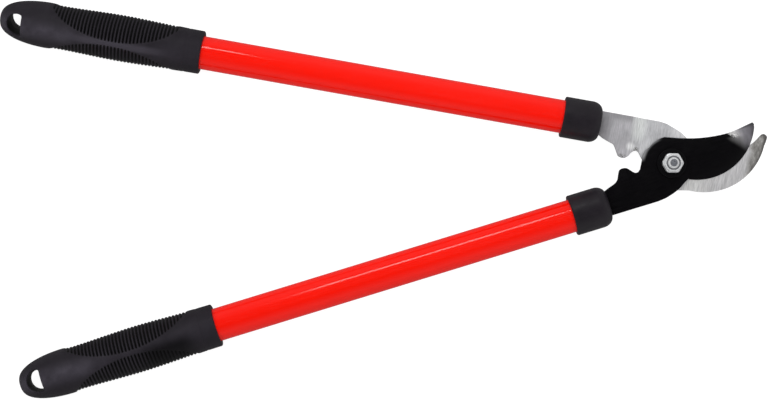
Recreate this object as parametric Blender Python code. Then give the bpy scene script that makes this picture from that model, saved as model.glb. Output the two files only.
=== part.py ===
"""Bypass lopper with two long tube handles, lying flat with its jaws almost closed.

+X runs from the grips to the tip of the jaws and +Z points up from the ground it lies on.
The origin is the middle of the flat face of the pivot bolt's head, so the pivot axis is Z.

Each lever is drawn in its own axes. u runs along its handle towards the jaws, v runs across
in the plane of the blades, both from the pivot, and z runs up from the plane of the two tubes.
Each handle has an axis of its own, which runs from the pivot's foot to the end of the grip.
Both grips end equally far from the pivot, so the handles line up when the jaws close.
"""

import math

import bmesh
import bpy
from mathutils import Vector

# All sizes are in metres and all angles in degrees
GAP = 0.0003

# The two levers
HOOK_TURN = -10.07
BLADE_TURN = 17.09
HOOK_TUBE_OFFSET = 0.0244
BLADE_TUBE_OFFSET = 0.0189
HOOK_HANDLE_START = 0.0691
BLADE_HANDLE_START = 0.0648
HANDLE_REACH = 0.6178

# Tubes
TUBE_DIAMETER = 0.0300
TUBE_WALL = 0.0012

# Collars over the mouths of the tubes
COLLAR_WALL = 0.0032
COLLAR_LENGTH = 0.0344
COLLAR_FRONT_WALL = 0.0035
COLLAR_NOSE_LENGTH = 0.0095
COLLAR_NOSE_RISE = 0.0075
COLLAR_REAR_CHAMFER = 0.0006

# Grips, with a hanging eye through the end. Their walls are measured over the tube
GRIP_LENGTH = 0.1845
GRIP_SHOULDER_WALL = 0.0053
GRIP_PANEL_WALL = 0.0047
GRIP_BARREL_WALL = 0.0060
GRIP_RIM_WALL = 0.0042
GRIP_RIM_FILLET = 0.0012
GRIP_NOSE = 0.0440
GRIP_NOSE_POWER = 0.35
GRIP_PANEL_DEPTH = 0.0520
GRIP_BARREL_DEPTH = 0.1107
GRIP_BORE_END = 0.0280

# Ribbed panels on both sides of a grip, from its shoulder to its rim
PANEL_MARGIN = 0.0050
PANEL_WIDEST_DEPTH = 0.1070
PANEL_RIM_LENGTH = 0.0220
PANEL_RECESS = 0.0003
SPINE_HALF_ANGLE = 4.0
RIB_PITCH = 0.0032
RIB_DEPTH = 0.0011

# Hanging eyes of the grips
EYE_START = 0.0080
EYE_LENGTH = 0.0137
EYE_RADIUS = 0.0101
EYE_FILLET = 0.0025
HOOK_GRIP_ROLL = -24.0
BLADE_GRIP_ROLL = -2.5

# Tangs of the blades and what holds them in the tubes
TANG_DEPTH = 0.0360
TANG_CHAMFER = 0.0030
HOOK_TANG_ABOVE = 0.0112
HOOK_TANG_BELOW = 0.0099
BLADE_TANG_ABOVE = 0.0112
BLADE_TANG_BELOW = 0.0103
BLADE_TANG_FLARE = 0.0013
INSERT_END_WALL = 0.0030
PIN_DIAMETER = 0.0060
PIN_FRONT = 0.0100
PIN_PITCH = 0.0150

# Plates of the two jaws
HOOK_THICKNESS = 0.0050
BLADE_THICKNESS = 0.0040
PIVOT_EYE_RADIUS = 0.0245
JOGGLE_START = 0.0310
JOGGLE_LENGTH = 0.0100
JOGGLE_CUTS = 5
JAW_OUTER_CENTRE = (0.025, 0.034)
JAW_OUTER_RADIUS = 0.0550
JAW_INNER_CENTRE = (0.027, 0.043)
JAW_INNER_RADIUS = 0.0430
EDGE_CENTRE = (0.033, 0.029)
EDGE_RADIUS = 0.0522
EDGE_HEEL_ANGLE = 246
EDGE_TIP_ANGLE = 338
EDGE_LAND = 0.0004
GRIND_WIDTH = 0.0170
GRIND_TAPER = 0.95

# Pivot bolt, nut, washers and bush
BOLT_DIAMETER = 0.0100
BOLT_POINT_RADIUS = 0.0034
BOLT_PAST_NUT = 0.0016
HEAD_HEIGHT = 0.0064
ACROSS_FLATS = 0.0170
HEX_FACE_RADIUS = 0.0081
HEX_CHAMFER_ANGLE = 30.0
WASHER_THICKNESS = 0.0020
WASHER_CHAMFER = 0.0003
HEAD_WASHER_DIAMETER = 0.0210
NUT_WASHER_DIAMETER = 0.0260
BUSH_WALL = 0.0014
NUT_TURN = 10.07
NUT_HEX_HEIGHT = 0.0070
NUT_CROWN_HEIGHT = 0.0030
NUT_CROWN_RADIUS = 0.0078
NUT_RING_HEIGHT = 0.0024
NUT_LIP = 0.0014

# How finely round shapes are cut
FINE_STEPS = 40
ROUND_STEPS = 32
PIN_STEPS = 20
CURVE_STEPS = 3
PANEL_STEPS = 10
NOSE_STEPS = 10
BARREL_STEPS = 8
CUTTER_REACH = 0.0050

TUBE_RADIUS = TUBE_DIAMETER / 2
TUBE_BORE_RADIUS = TUBE_RADIUS - TUBE_WALL
BOLT_RADIUS = BOLT_DIAMETER / 2
PIN_RADIUS = PIN_DIAMETER / 2
SLEEVE_BORE_RADIUS = TUBE_RADIUS + GAP
COLLAR_RADIUS = SLEEVE_BORE_RADIUS + COLLAR_WALL
COLLAR_FLAT_RADIUS = COLLAR_RADIUS - COLLAR_NOSE_RISE
GRIP_SHOULDER_RADIUS = SLEEVE_BORE_RADIUS + GRIP_SHOULDER_WALL
GRIP_PANEL_RADIUS = SLEEVE_BORE_RADIUS + GRIP_PANEL_WALL
GRIP_BARREL_RADIUS = SLEEVE_BORE_RADIUS + GRIP_BARREL_WALL
GRIP_RIM_RADIUS = SLEEVE_BORE_RADIUS + GRIP_RIM_WALL
PANEL_START = GRIP_NOSE + PANEL_MARGIN
PANEL_END = GRIP_LENGTH - PANEL_RIM_LENGTH
BOLT_BORE_RADIUS = BOLT_RADIUS + GAP
BUSH_RADIUS = BOLT_BORE_RADIUS + BUSH_WALL

# The cone that takes the corners off a hexagon, past its corners
HEX_RADIUS = ACROSS_FLATS / math.sqrt(3)
HEX_REACH = HEX_RADIUS + GAP
HEX_RISE = (HEX_REACH - HEX_FACE_RADIUS) * math.tan(math.radians(HEX_CHAMFER_ANGLE))

# Where the plates lie, from the plane of the tubes
HOOK_TOP = -GAP / 2
HOOK_BOTTOM = HOOK_TOP - HOOK_THICKNESS
BLADE_BOTTOM = GAP / 2
BLADE_TOP = BLADE_BOTTOM + BLADE_THICKNESS
HEAD_WASHER_BOTTOM = HOOK_BOTTOM - GAP - WASHER_THICKNESS
HEAD_BOTTOM = HEAD_WASHER_BOTTOM - GAP - HEAD_HEIGHT
NUT_WASHER_BOTTOM = BLADE_TOP + GAP
NUT_BOTTOM = NUT_WASHER_BOTTOM + WASHER_THICKNESS + GAP
NUT_HEIGHT = NUT_HEX_HEIGHT + NUT_CROWN_HEIGHT

# Paint, metal, rubber and plastic: colour, roughness, metallic
RED_PAINT = ((0.80, 0.016, 0.006), 0.22, 0.0)
BLACK_RUBBER = ((0.022, 0.021, 0.024), 0.55, 0.0)
GROUND_STEEL = ((0.62, 0.62, 0.63), 0.38, 1.0)
BLACK_COATING = ((0.012, 0.011, 0.013), 0.35, 0.2)
ZINC = ((0.72, 0.73, 0.74), 0.25, 1.0)
BLACK_STEEL = ((0.020, 0.020, 0.022), 0.40, 0.6)
BRASS = ((0.72, 0.52, 0.22), 0.32, 1.0)
GREY_PLASTIC = ((0.10, 0.10, 0.11), 0.50, 0.0)
GREY_NYLON = ((0.17, 0.175, 0.19), 0.45, 0.0)


def clear_scene():
    for item in list(bpy.data.objects):
        bpy.data.objects.remove(item, do_unlink=True)


def finish(node, look):
    """Material of one piece."""
    colour, roughness, metallic = look
    material = bpy.data.materials.new(node + "_finish")
    material.use_nodes = True
    shader = material.node_tree.nodes["Principled BSDF"]
    shader.inputs["Base Color"].default_value = (*colour, 1.0)
    shader.inputs["Roughness"].default_value = roughness
    shader.inputs["Metallic"].default_value = metallic
    return material


def frame(name, parent=None, location=(0, 0, 0), turn=(0, 0, 0)):
    """Empty that carries other pieces, turned by angles in degrees."""
    item = bpy.data.objects.new(name, None)
    bpy.context.scene.collection.objects.link(item)
    item.parent = parent
    item.location = location
    item.rotation_euler = [math.radians(angle) for angle in turn]
    return item


def piece(name, mesh, parent, look=None, location=(0, 0, 0), turn=(0, 0, 0)):
    """Object with a mesh. Without a look it is a cutter, which isn't part of the tool."""
    item = bpy.data.objects.new(name, mesh)
    bpy.context.scene.collection.objects.link(item)
    item.parent = parent
    item.location = location
    item.rotation_euler = [math.radians(angle) for angle in turn]
    if look is None:
        item.hide_render = True
        item.display_type = "WIRE"
    else:
        mesh.materials.append(finish(name, look))
        mesh.shade_smooth()
        mesh.set_sharp_from_angle(angle=math.radians(30))
    return item


def combine(item, other, operation):
    modifier = item.modifiers.new(operation.lower() + "_" + other.name, "BOOLEAN")
    modifier.operation = operation
    modifier.object = other


def made_mesh(name, bm):
    bmesh.ops.recalc_face_normals(bm, faces=bm.faces)
    mesh = bpy.data.meshes.new(name)
    bm.to_mesh(mesh)
    bm.free()
    return mesh


def turned(name, profile, steps=ROUND_STEPS, closed=False):
    """Profile of (radius, height) points turned about Z. An open one ends on the axis."""
    bm = bmesh.new()
    points = [bm.verts.new((radius, 0, height)) for radius, height in profile]
    followers = points[1:] + points[:1] if closed else points[1:]
    for point, follower in zip(points, followers):
        bm.edges.new((point, follower))
    bmesh.ops.spin(bm, geom=bm.verts[:] + bm.edges[:], cent=(0, 0, 0), axis=(0, 0, 1),
                   angle=math.tau, steps=steps, use_merge=True)
    bmesh.ops.remove_doubles(bm, verts=bm.verts, dist=0.00001)
    return made_mesh(name, bm)


def ring(name, inner, outer, height, chamfer=0.0, steps=ROUND_STEPS):
    """Washer, bush or tube from z = 0, with its outer edges chamfered."""
    profile = [(inner, 0), (outer - chamfer, 0), (outer, chamfer),
               (outer, height - chamfer), (outer - chamfer, height), (inner, height)]
    if chamfer == 0:
        profile = [(inner, 0), (outer, 0), (outer, height), (inner, height)]
    return turned(name, profile, steps, closed=True)


def rod(name, radius, low, high, steps=ROUND_STEPS):
    return turned(name, [(0, low), (radius, low), (radius, high), (0, high)], steps)


def extruded(bm, outline, low, high):
    """Flat outline of (u, v) points made into a plate from low to high."""
    face = bm.faces.new([bm.verts.new((u, v, low)) for u, v in outline])
    raised = bmesh.ops.extrude_face_region(bm, geom=[face])["geom"]
    top = [item for item in raised if isinstance(item, bmesh.types.BMVert)]
    bmesh.ops.translate(bm, vec=(0, 0, high - low), verts=top)


def prism(name, outline, low, high):
    bm = bmesh.new()
    extruded(bm, outline, low, high)
    return made_mesh(name, bm)


def block(name, x_range, y_range, z_range):
    outline = [(x_range[0], y_range[0]), (x_range[1], y_range[0]),
               (x_range[1], y_range[1]), (x_range[0], y_range[1])]
    return prism(name, outline, *z_range)


def hexagon(name, low, high):
    """Hexagonal bar with two corners on the X axis."""
    outline = [(HEX_RADIUS * math.cos(side * math.pi / 3), HEX_RADIUS * math.sin(side * math.pi / 3))
               for side in range(6)]
    return prism(name, outline, low, high)


def mm(*points):
    """Points given in millimetres."""
    return [(u / 1000, v / 1000) for u, v in points]


def arc(centre, radius, start, end, step=4.0):
    """Points of an arc from one angle to another, in degrees."""
    steps = max(1, round(abs(end - start) / step))
    angles = [math.radians(start + (end - start) * count / steps) for count in range(steps + 1)]
    return [(centre[0] + radius * math.cos(angle), centre[1] + radius * math.sin(angle))
            for angle in angles]


def smooth(points, steps=CURVE_STEPS):
    """Curve through points, which leaves both ends in the direction of its neighbours."""
    dots = [Vector(point) for point in points]
    dots = [2 * dots[0] - dots[1]] + dots + [2 * dots[-1] - dots[-2]]
    curve = []
    for before, start, end, after in zip(dots, dots[1:], dots[2:], dots[3:]):
        for count in range(steps):
            t = count / steps
            curve.append(0.5 * (2 * start + (end - before) * t
                                + (2 * before - 5 * start + 4 * end - after) * t ** 2
                                + (3 * start - before - 3 * end + after) * t ** 3))
    curve.append(dots[-2])
    return [tuple(dot) for dot in curve]


def hook_outline():
    """Hook blade: tang, bumper, pivot eye, curved jaw and throat, anticlockwise."""
    upper = HOOK_TUBE_OFFSET + HOOK_TANG_ABOVE
    lower = HOOK_TUBE_OFFSET - HOOK_TANG_BELOW
    mouth = -HOOK_HANDLE_START
    end = mouth - TANG_DEPTH
    tang_foot = [(end, upper - TANG_CHAMFER), (end, lower + TANG_CHAMFER),
                 (end + TANG_CHAMFER, lower), (mouth - GAP, lower)]
    bumper = smooth(mm((-64.4, 11.7), (-57.6, 9.2), (-53.9, 7.8), (-50.9, 3.2), (-48.4, -1.2),
                       (-45.2, -2.5), (-41.7, -2.2), (-39.2, 0.0), (-36.6, 3.7), (-33.2, 5.9),
                       (-30.2, 4.8), (-27.7, 1.4)))
    pivot_eye = arc((0, 0), PIVOT_EYE_RADIUS, 186, 290, 5)
    outer = arc(JAW_OUTER_CENTRE, JAW_OUTER_RADIUS, 266, 356)
    tip = smooth(mm((80.8, 34.4), (81.1, 38.6), (79.0, 40.5), (76.4, 40.3), (73.2, 35.4),
                    (70.4, 31.6)))
    inner = arc(JAW_INNER_CENTRE, JAW_INNER_RADIUS, -19, -92)
    throat = smooth(mm((21.4, 3.6), (19.6, 9.4), (17.0, 15.4), (13.9, 20.6), (10.0, 24.9),
                       (5.0, 28.6), (-2.4, 31.8)))
    back = mm((-10.0, 34.6), (-17.0, 35.5)) + [(end + TANG_CHAMFER, upper)]
    return tang_foot + bumper + pivot_eye + outer + tip + inner + throat + back


def cutting_edge():
    return arc(EDGE_CENTRE, EDGE_RADIUS, EDGE_HEEL_ANGLE, EDGE_TIP_ANGLE)


def blade_outline():
    """Cutting blade, anticlockwise: tang, heel, cutting edge, back, pivot eye and bumper."""
    upper = -BLADE_TUBE_OFFSET + BLADE_TANG_ABOVE
    lower = -BLADE_TUBE_OFFSET - BLADE_TANG_BELOW
    mouth = -BLADE_HANDLE_START
    end = mouth - TANG_DEPTH
    tang_foot = [(mouth - COLLAR_FRONT_WALL, upper), (end + TANG_CHAMFER, upper),
                 (end, upper - TANG_CHAMFER), (end, lower + TANG_CHAMFER),
                 (end + TANG_CHAMFER, lower)]
    belly = [(-0.0215, lower)] + smooth(mm((-14.0, -28.4), (-6.0, -26.2), (0.2, -23.6),
                                           (5.2, -20.5), (10.4, -17.7)))
    tip = mm((81.2, 12.2), (80.2, 13.9))
    back = smooth(mm((72.0, 12.7), (62.0, 11.4), (49.5, 11.5), (31.5, 14.2), (14.4, 19.2),
                     (0.8, 24.5)))
    pivot_eye = arc((0, 0), PIVOT_EYE_RADIUS, 93, 126, 5)
    pivot_eye += smooth(mm((-19.1, 18.1), (-22.8, 13.9), (-24.4, 10.4), (-26.4, 6.6), (-28.4, 3.0)))
    bumper = smooth(mm((-30.6, 1.3), (-33.0, 1.2), (-35.3, 2.7), (-37.3, 5.2), (-39.3, 7.4),
                       (-42.0, 8.5), (-44.9, 8.4), (-46.9, 7.0), (-48.6, 3.6), (-50.7, -0.3),
                       (-54.0, -2.6), (-58.9, -4.2)))
    flare = [(mouth, upper + BLADE_TANG_FLARE)]
    return tang_foot + belly + cutting_edge() + tip + back + pivot_eye + bumper + flare


def joggled(bm, drop):
    """Step the head of a plate down from its tang, over a short ramp."""
    bmesh.ops.triangulate(bm, faces=bm.faces)
    for cut in range(JOGGLE_CUTS + 1):
        place = -JOGGLE_START - JOGGLE_LENGTH * cut / JOGGLE_CUTS
        geometry = bm.verts[:] + bm.edges[:] + bm.faces[:]
        bmesh.ops.bisect_plane(bm, geom=geometry, plane_co=(place, 0, 0), plane_no=(1, 0, 0))
    for vert in bm.verts:
        t = min(1, max(0, (vert.co.x + JOGGLE_START + JOGGLE_LENGTH) / JOGGLE_LENGTH))
        vert.co.z -= drop * t * t * (3 - 2 * t)


def hook_mesh():
    bm = bmesh.new()
    extruded(bm, hook_outline(), -HOOK_THICKNESS / 2, HOOK_THICKNESS / 2)
    joggled(bm, HOOK_THICKNESS / 2 - HOOK_TOP)
    return made_mesh("hook_blade", bm)


def blade_mesh():
    """Cutting blade, with one wide ground face that thins it to its cutting edge."""
    bm = bmesh.new()
    extruded(bm, blade_outline(), -BLADE_THICKNESS / 2, BLADE_THICKNESS / 2)
    land = -BLADE_THICKNESS / 2 + EDGE_LAND
    geometry = bm.verts[:] + bm.edges[:] + bm.faces[:]
    bmesh.ops.bisect_plane(bm, geom=geometry, plane_co=(0, 0, land), plane_no=(0, 0, 1))
    edge = cutting_edge()
    for count, (u, v) in enumerate(edge):
        along = count / (len(edge) - 1)
        inwards = Vector((EDGE_CENTRE[0] - u, EDGE_CENTRE[1] - v, 0)).normalized()
        width = GRIND_WIDTH * (1 - GRIND_TAPER * along ** 2)
        corner = Vector((u, v, BLADE_THICKNESS / 2))
        nearest = min(bm.verts, key=lambda vert: (vert.co - corner).length)
        nearest.co += inwards * width
    joggled(bm, -BLADE_THICKNESS / 2 - BLADE_BOTTOM)
    return made_mesh("cutting_blade", bm)


def grip_radius(depth):
    """Radius of a grip at a depth from its closed end."""
    if depth < GRIP_NOSE:
        return GRIP_SHOULDER_RADIUS * (1 - (1 - depth / GRIP_NOSE) ** 2) ** GRIP_NOSE_POWER
    stations = [(GRIP_NOSE, GRIP_SHOULDER_RADIUS), (GRIP_PANEL_DEPTH, GRIP_PANEL_RADIUS),
                (GRIP_BARREL_DEPTH, GRIP_BARREL_RADIUS), (GRIP_LENGTH, GRIP_RIM_RADIUS)]
    for (start, low), (end, high) in zip(stations, stations[1:]):
        if depth <= end:
            t = (depth - start) / (end - start)
            return low + (high - low) * t * t * (3 - 2 * t)
    return GRIP_RIM_RADIUS


def grip_mesh(name):
    """Grip from its closed end at z = 0 down to its rim, with a blind bore for the tube."""
    nose = [GRIP_NOSE * (count / NOSE_STEPS) ** 2 for count in range(1, NOSE_STEPS + 1)]
    barrel_length = GRIP_LENGTH - GRIP_RIM_FILLET - GRIP_PANEL_DEPTH
    barrel = [GRIP_PANEL_DEPTH + barrel_length * count / BARREL_STEPS for count in range(BARREL_STEPS + 1)]
    profile = [(0, 0)] + [(grip_radius(depth), -depth) for depth in nose + barrel]
    profile += [(GRIP_RIM_RADIUS - GRIP_RIM_FILLET, -GRIP_LENGTH), (SLEEVE_BORE_RADIUS, -GRIP_LENGTH),
                (SLEEVE_BORE_RADIUS, -GRIP_BORE_END), (0, -GRIP_BORE_END)]
    return turned(name, profile, FINE_STEPS)


def panel_half_angle(depth):
    """How far a ribbed panel reaches round the grip from its middle, at a depth."""
    end = PANEL_START if depth < PANEL_WIDEST_DEPTH else PANEL_END
    along = (depth - PANEL_WIDEST_DEPTH) / (end - PANEL_WIDEST_DEPTH)
    return (90 - SPINE_HALF_ANGLE) * math.sqrt(1 - along ** 2)


def panel_mesh(name):
    """Cutter of one ribbed panel, which leaves a crest and a groove for each rib."""
    rows = 2 * int((PANEL_END - PANEL_START) / RIB_PITCH) - 2
    bm = bmesh.new()
    bmesh.ops.create_grid(bm, x_segments=PANEL_STEPS, y_segments=rows, size=1)
    reach = GRIP_BARREL_RADIUS + CUTTER_REACH
    for vert in bm.verts:
        row = round((vert.co.y + 1) / 2 * rows) + 1
        depth = PANEL_START + row * RIB_PITCH / 2
        angle = math.radians(90 + panel_half_angle(depth) * vert.co.x)
        radius = grip_radius(depth) - PANEL_RECESS - RIB_DEPTH * (row % 2)
        vert.co = (radius * math.cos(angle), radius * math.sin(angle), -depth)
    raised = bmesh.ops.extrude_face_region(bm, geom=bm.faces[:])["geom"]
    for vert in [item for item in raised if isinstance(item, bmesh.types.BMVert)]:
        scale = reach / math.hypot(vert.co.x, vert.co.y)
        vert.co.x *= scale
        vert.co.y *= scale
    return made_mesh(name, bm)


def eye_mesh(name):
    """Cutter of the D-shaped hole through the end of a grip, flat on the side of the tube."""
    centre = EYE_START + EYE_RADIUS
    flat = EYE_START + EYE_LENGTH
    corner = math.sqrt(EYE_RADIUS ** 2 - (flat - centre) ** 2)
    opening = 90 + math.degrees(math.asin((flat - centre) / EYE_RADIUS) - EYE_FILLET / EYE_RADIUS)
    curved = [(side, depth - centre)
              for depth, side in arc((0, 0), EYE_RADIUS, opening, -opening, 12)]
    outline = curved + [(EYE_FILLET - corner, -flat), (corner - EYE_FILLET, -flat)]
    reach = GRIP_BARREL_RADIUS + CUTTER_REACH
    return prism(name, outline, -reach, reach)


def collar_mesh(name):
    """Collar from its front face at z = 0, with a front wall and a bore for the tube."""
    nose = [(COLLAR_FLAT_RADIUS + COLLAR_NOSE_RISE * math.sin(angle),
             COLLAR_NOSE_LENGTH * (1 - math.cos(angle)))
            for angle in [math.radians(15 * count) for count in range(7)]]
    profile = [(0, 0)] + nose
    profile += [(COLLAR_RADIUS, COLLAR_LENGTH - COLLAR_REAR_CHAMFER),
                (COLLAR_RADIUS - COLLAR_REAR_CHAMFER, COLLAR_LENGTH),
                (SLEEVE_BORE_RADIUS, COLLAR_LENGTH),
                (SLEEVE_BORE_RADIUS, COLLAR_FRONT_WALL), (0, COLLAR_FRONT_WALL)]
    return turned(name, profile, FINE_STEPS)


def make_pins(side, handle, start):
    """Two pins across the mouth of a tube. Gives the cutters of their holes."""
    half = math.sqrt(TUBE_RADIUS ** 2 - PIN_RADIUS ** 2) - GAP / 2
    cutters = []
    for count, place in enumerate(("front", "rear")):
        name = side + "_tang_pin_" + place
        spot = (0, 0, start + PIN_FRONT + PIN_PITCH * count)
        piece(name, rod(name, PIN_RADIUS, -half, half, PIN_STEPS), handle, ZINC, spot, (0, 90, 0))
        hole = rod(name + "_hole", PIN_RADIUS + GAP, -TUBE_DIAMETER, TUBE_DIAMETER, PIN_STEPS)
        cutters.append(piece(name + "_hole", hole, handle, None, spot, (0, 90, 0)))
    return cutters


def make_handle(side, lever, offset, start, roll, thickness, tang, flare=0.0):
    """Tube, grip, collar, insert and pins of one lever. Gives the cutters of the pins' holes.

    In the handle's axes X is up, Y is across and Z runs from the pivot's foot to the grip.
    """
    handle = frame(side + "_handle", lever, (0, offset, 0), (0, -90, 0))
    mouth = start + COLLAR_FRONT_WALL + GAP
    end = HANDLE_REACH
    tube_length = end - GRIP_BORE_END - GAP - mouth
    tang_end = start + TANG_DEPTH + GAP
    pin_holes = make_pins(side, handle, start)

    half = thickness / 2 + GAP
    low, high = tang[0] - GAP, tang[1] + GAP
    slot_mesh = block(side + "_tang_slot", (-half, half), (low, high), (start, tang_end))
    gate_mesh = block(side + "_tang_gate", (-half, half), (low, high + flare),
                      (start - CUTTER_REACH, mouth))
    slot = piece(side + "_tang_slot", slot_mesh, handle)
    gate = piece(side + "_tang_gate", gate_mesh, handle)

    tube_mesh = ring(side + "_tube", TUBE_BORE_RADIUS, TUBE_RADIUS, tube_length, steps=FINE_STEPS)
    tube = piece(side + "_tube", tube_mesh, handle, RED_PAINT, (0, 0, mouth))
    insert_mesh = rod(side + "_tang_insert", TUBE_BORE_RADIUS - GAP, 0,
                      tang_end + INSERT_END_WALL - mouth)
    insert = piece(side + "_tang_insert", insert_mesh, handle, GREY_PLASTIC, (0, 0, mouth))
    collar = piece(side + "_collar", collar_mesh(side + "_collar"), handle, BLACK_RUBBER,
                   (0, 0, start))
    combine(insert, slot, "DIFFERENCE")
    combine(collar, gate, "DIFFERENCE")
    for pin_hole in pin_holes:
        combine(tube, pin_hole, "DIFFERENCE")
        combine(insert, pin_hole, "DIFFERENCE")

    grip = piece(side + "_grip", grip_mesh(side + "_grip"), handle, BLACK_RUBBER,
                 (0, 0, end), (0, 0, roll))
    eye = piece(side + "_grip_eye", eye_mesh(side + "_grip_eye"), grip, turn=(90, 0, 90))
    combine(grip, eye, "DIFFERENCE")
    for count, place in enumerate(("left", "right")):
        name = side + "_grip_panel_" + place
        combine(grip, piece(name, panel_mesh(name), grip, turn=(0, 0, 180 * count)), "DIFFERENCE")
    return pin_holes


def make_jaws(hook_lever, blade_lever, hook_pin_holes, blade_pin_holes):
    """The two plates, each with a hole for the pivot and for its own pins."""
    low, high = HOOK_BOTTOM - CUTTER_REACH, BLADE_TOP + CUTTER_REACH
    hook = piece("hook_blade", hook_mesh(), hook_lever, GROUND_STEEL)
    bolt_hole = rod("hook_pivot_hole", BOLT_BORE_RADIUS, low, high)
    combine(hook, piece("hook_pivot_hole", bolt_hole, hook_lever), "DIFFERENCE")
    blade = piece("cutting_blade", blade_mesh(), blade_lever, BLACK_COATING)
    bush_hole = rod("blade_pivot_hole", BUSH_RADIUS + GAP, low, high)
    combine(blade, piece("blade_pivot_hole", bush_hole, blade_lever), "DIFFERENCE")
    for plate, pin_holes in ((hook, hook_pin_holes), (blade, blade_pin_holes)):
        for pin_hole in pin_holes:
            combine(plate, pin_hole, "DIFFERENCE")


def make_bolt(lever):
    """Hexagon head with its shank, whose chamfered end stands out of the nut."""
    head_top = HEAD_BOTTOM + HEAD_HEIGHT
    point = NUT_BOTTOM + NUT_HEIGHT + BOLT_PAST_NUT
    shoulder = point - (BOLT_RADIUS - BOLT_POINT_RADIUS)
    middle = HEAD_BOTTOM + HEAD_HEIGHT / 2
    bolt = piece("pivot_bolt", hexagon("pivot_bolt", HEAD_BOTTOM, head_top), lever, ZINC)
    envelope = turned("bolt_head_envelope", [(0, HEAD_BOTTOM), (HEX_FACE_RADIUS, HEAD_BOTTOM),
                                             (HEX_REACH, HEAD_BOTTOM + HEX_RISE),
                                             (HEX_REACH, head_top + GAP), (0, head_top + GAP)])
    shank = turned("bolt_shank", [(0, middle), (BOLT_RADIUS, middle), (BOLT_RADIUS, shoulder),
                                  (BOLT_POINT_RADIUS, point), (0, point)])
    combine(bolt, piece("bolt_head_envelope", envelope, lever), "INTERSECT")
    combine(bolt, piece("bolt_shank", shank, lever), "UNION")


def make_nut(lever):
    """Locking nut: a chamfered hexagon with a round crown that holds a nylon ring."""
    ring_radius = NUT_CROWN_RADIUS - NUT_LIP
    ring_seat = NUT_HEIGHT - NUT_RING_HEIGHT
    edge = NUT_LIP / 2
    outer = [(0, 0), (HEX_FACE_RADIUS, 0), (HEX_REACH, HEX_RISE),
             (HEX_REACH, NUT_HEX_HEIGHT - HEX_RISE), (HEX_FACE_RADIUS, NUT_HEX_HEIGHT),
             (NUT_CROWN_RADIUS, NUT_HEX_HEIGHT), (NUT_CROWN_RADIUS, NUT_HEIGHT - edge),
             (NUT_CROWN_RADIUS - edge, NUT_HEIGHT), (0, NUT_HEIGHT)]
    inner = [(0, -CUTTER_REACH), (BOLT_BORE_RADIUS, -CUTTER_REACH), (BOLT_BORE_RADIUS, ring_seat),
             (ring_radius, ring_seat), (ring_radius, NUT_HEIGHT + CUTTER_REACH),
             (0, NUT_HEIGHT + CUTTER_REACH)]
    seat = (0, 0, NUT_BOTTOM)
    nut = piece("pivot_nut", hexagon("pivot_nut", 0, NUT_HEIGHT), lever, ZINC, seat,
                (0, 0, NUT_TURN))
    envelope = piece("nut_envelope", turned("nut_envelope", outer), lever, None, seat)
    bore = piece("nut_bore", turned("nut_bore", inner), lever, None, seat)
    combine(nut, envelope, "INTERSECT")
    combine(nut, bore, "DIFFERENCE")
    lock_ring = ring("nut_lock_ring", BOLT_BORE_RADIUS, ring_radius - GAP, NUT_RING_HEIGHT - 2 * GAP)
    piece("nut_lock_ring", lock_ring, lever, GREY_NYLON, (0, 0, NUT_BOTTOM + ring_seat + GAP))


def make_pivot(hook_lever, blade_lever):
    """Bolt, washers, bush and locking nut, from the bolt's head up."""
    make_bolt(hook_lever)
    head_washer = ring("head_washer", BOLT_BORE_RADIUS, HEAD_WASHER_DIAMETER / 2,
                       WASHER_THICKNESS, WASHER_CHAMFER)
    piece("head_washer", head_washer, hook_lever, ZINC, (0, 0, HEAD_WASHER_BOTTOM))
    bush = ring("pivot_bush", BOLT_BORE_RADIUS, BUSH_RADIUS, BLADE_THICKNESS)
    piece("pivot_bush", bush, blade_lever, BRASS, (0, 0, BLADE_BOTTOM))
    nut_washer = ring("nut_washer", BOLT_BORE_RADIUS, NUT_WASHER_DIAMETER / 2,
                      WASHER_THICKNESS, WASHER_CHAMFER)
    piece("nut_washer", nut_washer, hook_lever, BLACK_STEEL, (0, 0, NUT_WASHER_BOTTOM))
    make_nut(hook_lever)


def main():
    clear_scene()
    pivot = frame("pivot", location=(0, 0, -HEAD_BOTTOM))
    hook_lever = frame("hook_lever", pivot, turn=(0, 0, HOOK_TURN))
    blade_lever = frame("blade_lever", pivot, turn=(0, 0, BLADE_TURN))
    hook_pin_holes = make_handle("hook", hook_lever, HOOK_TUBE_OFFSET, HOOK_HANDLE_START,
                                 HOOK_GRIP_ROLL, HOOK_THICKNESS,
                                 (-HOOK_TANG_BELOW, HOOK_TANG_ABOVE))
    blade_pin_holes = make_handle("blade", blade_lever, -BLADE_TUBE_OFFSET, BLADE_HANDLE_START,
                                  BLADE_GRIP_ROLL, BLADE_THICKNESS,
                                  (-BLADE_TANG_BELOW, BLADE_TANG_ABOVE), BLADE_TANG_FLARE)
    make_jaws(hook_lever, blade_lever, hook_pin_holes, blade_pin_holes)
    make_pivot(hook_lever, blade_lever)
    bpy.context.view_layer.update()


main()
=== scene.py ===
"""Bypass lopper on a pale studio floor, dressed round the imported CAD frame.

Lever axes start at the pivot: X along the handle towards the jaw, Y across and Z up.
Handle axes lie on the middle line of a tube: X up, Y across and Z towards the grip.
Grip axes are those of its handle, moved to the grip's closed end and rolled.
"""

import math

import bmesh
import bpy
import numpy as np
from mathutils import Matrix, Vector


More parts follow.
